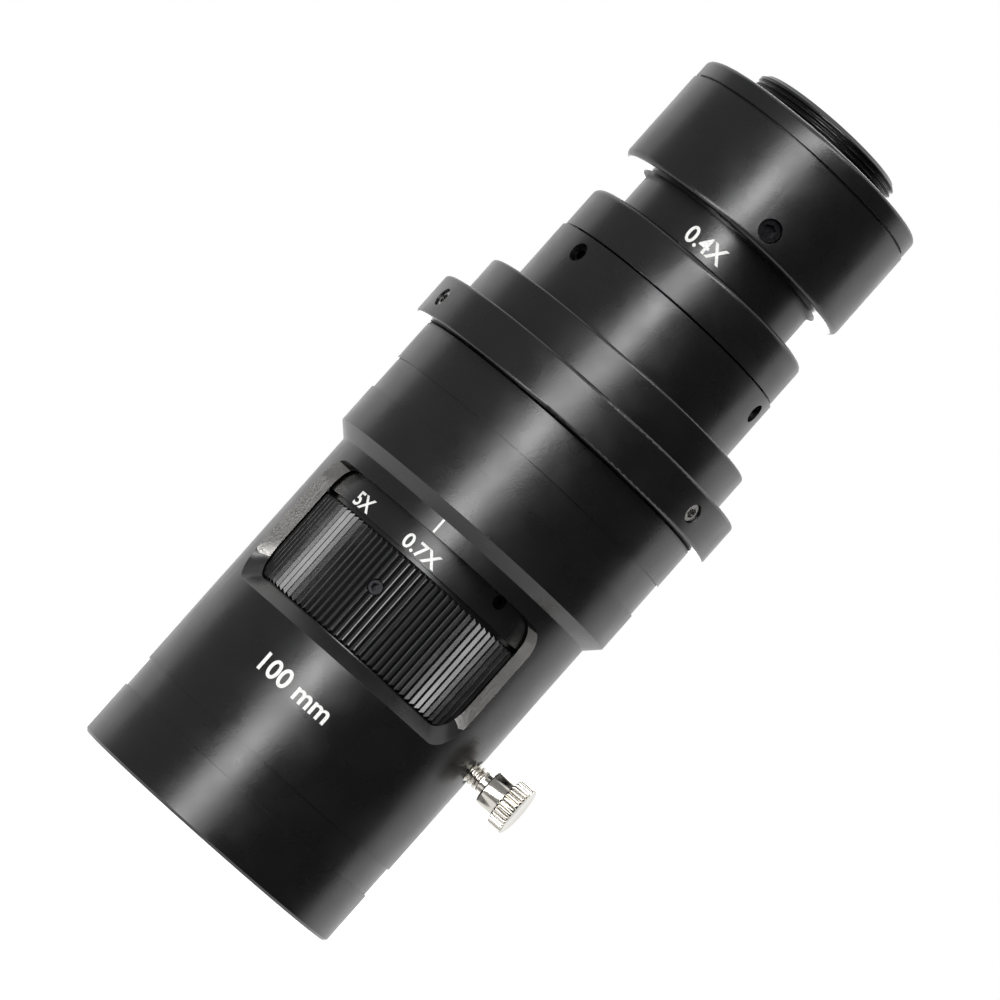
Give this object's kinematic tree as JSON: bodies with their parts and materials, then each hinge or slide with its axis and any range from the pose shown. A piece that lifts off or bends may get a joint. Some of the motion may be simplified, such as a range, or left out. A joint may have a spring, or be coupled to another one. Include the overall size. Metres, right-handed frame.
{
  "type": "c-mount zoom lens",
  "caption": "Video microscope zoom lens with a knurled zoom ring behind side windows, a 50 mm stand seat, an adjustable rear tube and a C-mount camera thread.",
  "frame": {"origin": "on the lens axis in the plane of the front rim, which the lens stands on", "axes": "+Z along the lens axis to the camera thread, -Y through the index mark and the middle of the front window, +X out through the thumb screw"},
  "size_m": [0.0594, 0.055, 0.1357],
  "materials": {
    "black_anodised_aluminium": "bead-blasted and black anodised",
    "nickel_plated_screw": "bright nickel plated",
    "stainless_screw": "plain stainless steel",
    "black_steel_screw": "black oxide",
    "cam_pin_brass": "turned",
    "optical_glass": "polished and coated"
  },
  "bodies": {
    "barrel": {"main_barrel": "black_anodised_aluminium", "front_cell": "black_anodised_aluminium", "front_lens_crown": "optical_glass", "front_lens_flint": "optical_glass", "front_retaining_ring": "black_anodised_aluminium", "guide_barrel": "black_anodised_aluminium", "sleeve_retaining_ring": "black_anodised_aluminium", "aperture_stop": "black_anodised_aluminium", "rear_tube": "black_anodised_aluminium", "rear_lens": "optical_glass", "rear_lens_ring": "black_anodised_aluminium", "stop_collar": "black_anodised_aluminium", "collar_set_screws": "stainless_screw", "tube_set_screws": "black_steel_screw"},
    "zoom": {"zoom_ring": "black_anodised_aluminium", "cam_sleeve": "black_anodised_aluminium", "ring_set_screws": "black_steel_screw", "scale_screw": "black_steel_screw"},
    "variator": {"variator_cell": "black_anodised_aluminium", "variator_lens": "optical_glass", "variator_retaining_ring": "black_anodised_aluminium", "variator_pin": "cam_pin_brass"},
    "compensator": {"compensator_cell": "black_anodised_aluminium", "compensator_lens": "optical_glass", "compensator_retaining_ring": "black_anodised_aluminium", "compensator_pin": "cam_pin_brass"},
    "lock_screw": {"thumb_screw": "nickel_plated_screw"},
    "relay": {"relay_tube": "black_anodised_aluminium", "relay_front_lens": "optical_glass", "relay_front_ring": "black_anodised_aluminium", "relay_rear_lens": "optical_glass", "relay_rear_ring": "black_anodised_aluminium"},
    "camera_mount": {"c_mount_housing": "black_anodised_aluminium", "c_mount_flange": "black_anodised_aluminium", "c_mount_set_screws": "black_steel_screw"}
  },
  "joints": [
    {"name": "zoom_ring_turn", "type": "hinge", "parent": "barrel", "child": "zoom", "pos_m": [0, 0, 0.042], "axis": [0, 0, 1], "range_deg": [-325.7, 0]},
    {"name": "variator_slide", "type": "slide", "parent": "barrel", "child": "variator", "axis": [0, 0, 1], "range_m": [0, 0.01602]},
    {"name": "compensator_slide", "type": "slide", "parent": "barrel", "child": "compensator", "axis": [0, 0, 1], "range_m": [-0.00502, 0]},
    {"name": "lock_screw_travel", "type": "slide", "parent": "barrel", "child": "lock_screw", "axis": [1, 0, 0], "range_m": [-0.00035, 0.0024]},
    {"name": "relay_slide", "type": "slide", "parent": "barrel", "child": "relay", "axis": [0, 0, 1], "range_m": [0, 0.006]},
    {"name": "camera_mount_turn", "type": "hinge", "parent": "relay", "child": "camera_mount", "pos_m": [0, 0, 0.12], "axis": [0, 0, 1], "continuous": true}
  ],
  "couplings": [
    {"joint": "variator_slide", "follows": "zoom_ring_turn", "m_per_rad": -0.0028147},
    {"joint": "compensator_slide", "follows": "zoom_ring_turn", "m_per_rad": 0.00087958}
  ]
}
